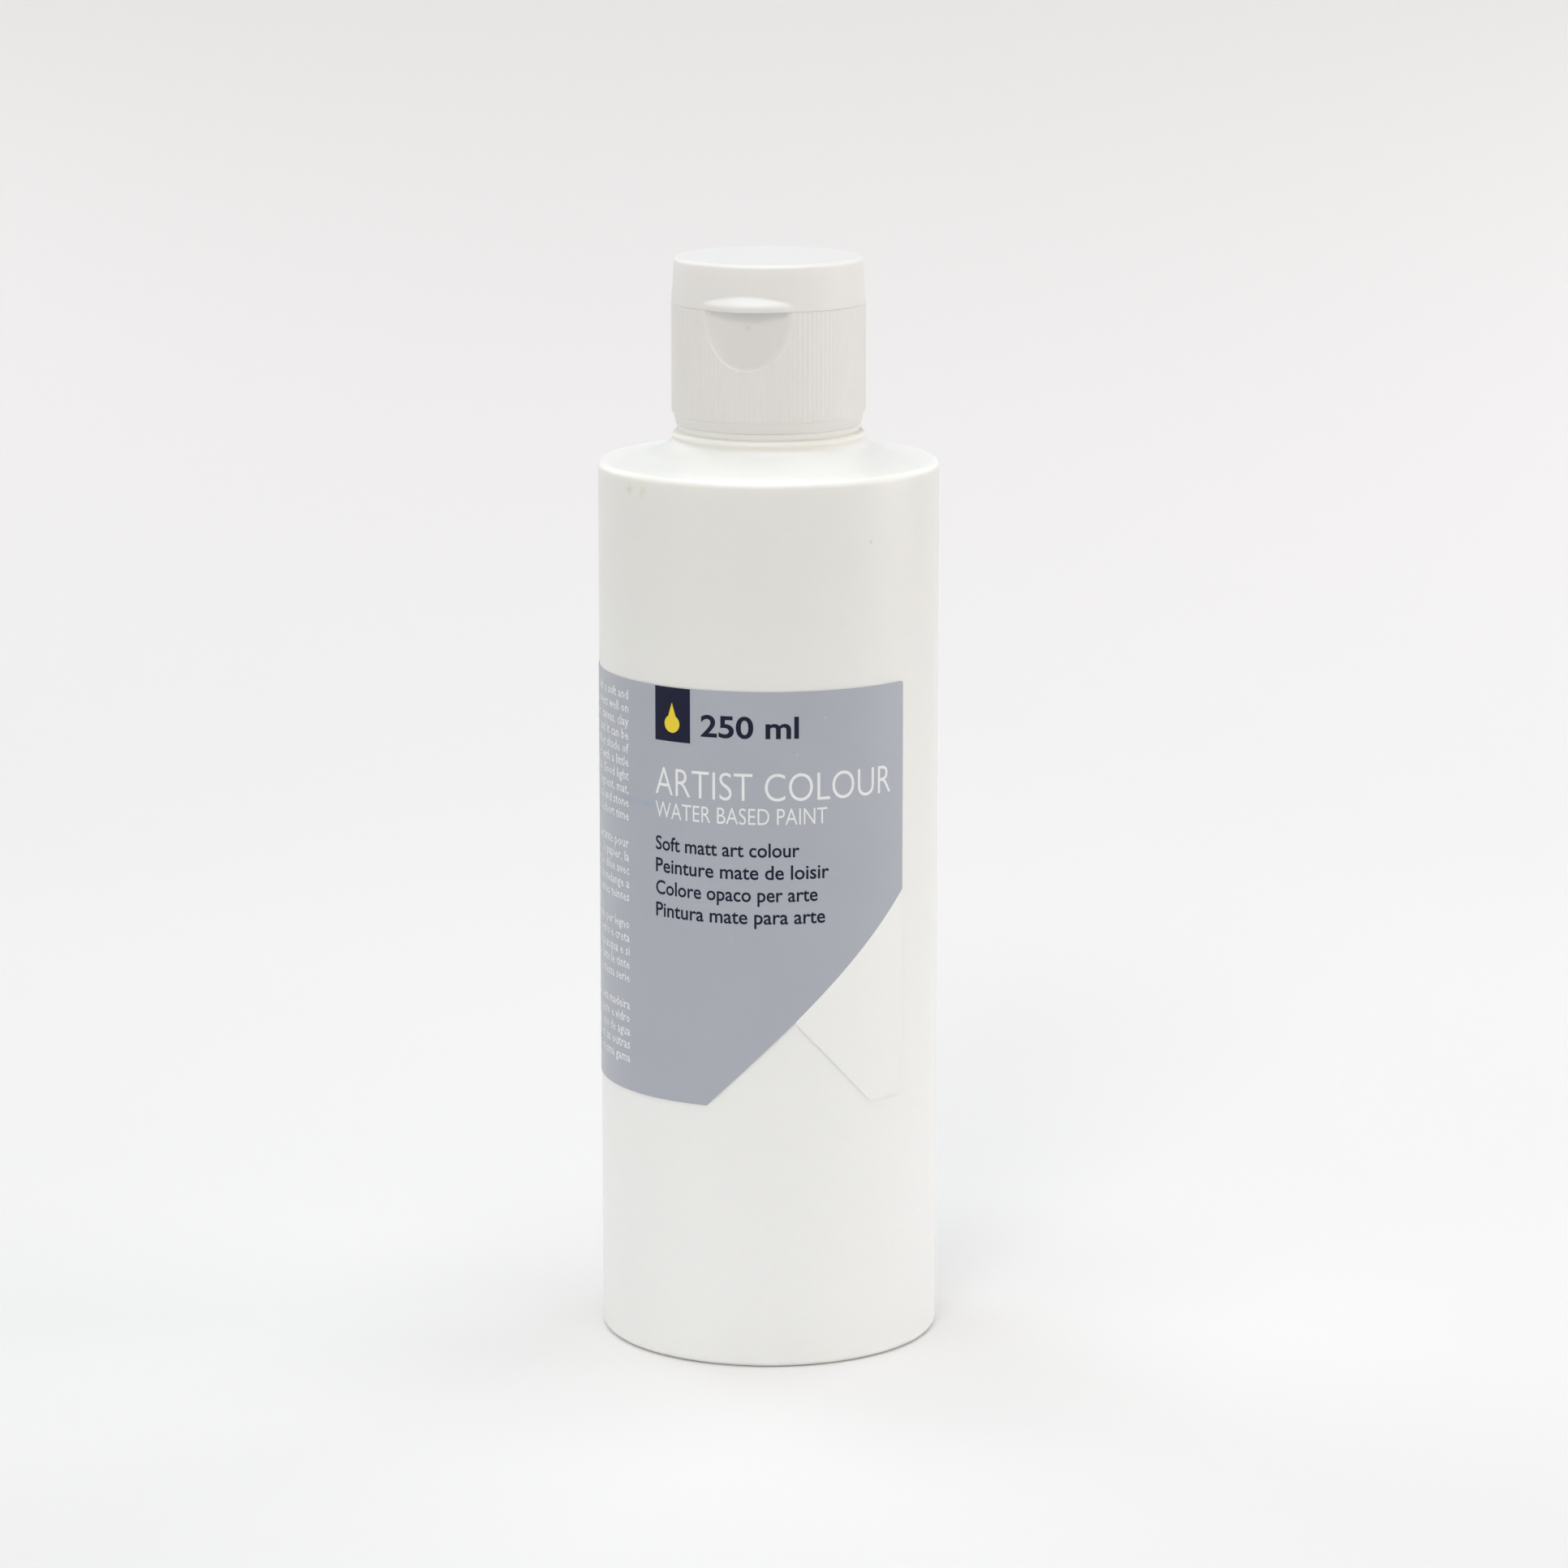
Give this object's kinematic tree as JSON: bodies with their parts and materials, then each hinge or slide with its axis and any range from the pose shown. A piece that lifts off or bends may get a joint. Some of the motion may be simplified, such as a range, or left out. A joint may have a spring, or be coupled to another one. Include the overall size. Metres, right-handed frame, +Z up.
{
  "type": "paint bottle",
  "caption": "Round upright squeeze bottle of acrylic paint with a wraparound label and a ribbed screw cap whose flip lid opens on a living hinge.",
  "frame": {"origin": "centre of the bottle's base, on the surface that it stands on", "axes": "+Z up along the bottle's axis, -Y towards the thumb tab of the lid, the living hinge at +Y"},
  "size_m": [0.0522, 0.0524, 0.1674],
  "materials": {
    "bottle_plastic": "satin",
    "paint": "gloss",
    "label_film": "satin",
    "seal_foam": "matte",
    "cap_plastic": "satin",
    "lid_plastic": "satin",
    "hinge_plastic": "satin"
  },
  "bodies": {
    "bottle_body": {"bottle": "bottle_plastic", "paint_fill": "paint", "label": "label_film"},
    "seal_body": {"neck_seal": "seal_foam"},
    "cap_body": {"closure_base": "cap_plastic", "hinge_film": "hinge_plastic", "hinge_strap_left": "hinge_plastic", "hinge_strap_right": "hinge_plastic"},
    "lid_body": {"flip_lid": "lid_plastic"}
  },
  "joints": [
    {"name": "cap_lift", "type": "slide", "parent": "bottle_body", "child": "seal_body", "axis": [0, 0, 1], "range_m": [0, 0.0048]},
    {"name": "cap_turn", "type": "hinge", "parent": "seal_body", "child": "cap_body", "pos_m": [0, 0, 0.15], "axis": [0, 0, 1], "range_deg": [0, 540]},
    {"name": "lid_flip", "type": "hinge", "parent": "cap_body", "child": "lid_body", "pos_m": [0, 0.0149, 0.16045], "axis": [-1, 0, 0], "range_deg": [0, 170], "deforming": ["hinge_film", "hinge_strap_left", "hinge_strap_right"]}
  ],
  "couplings": [
    {"joint": "cap_lift", "follows": "cap_turn", "m_per_rad": 0.00050532}
  ]
}
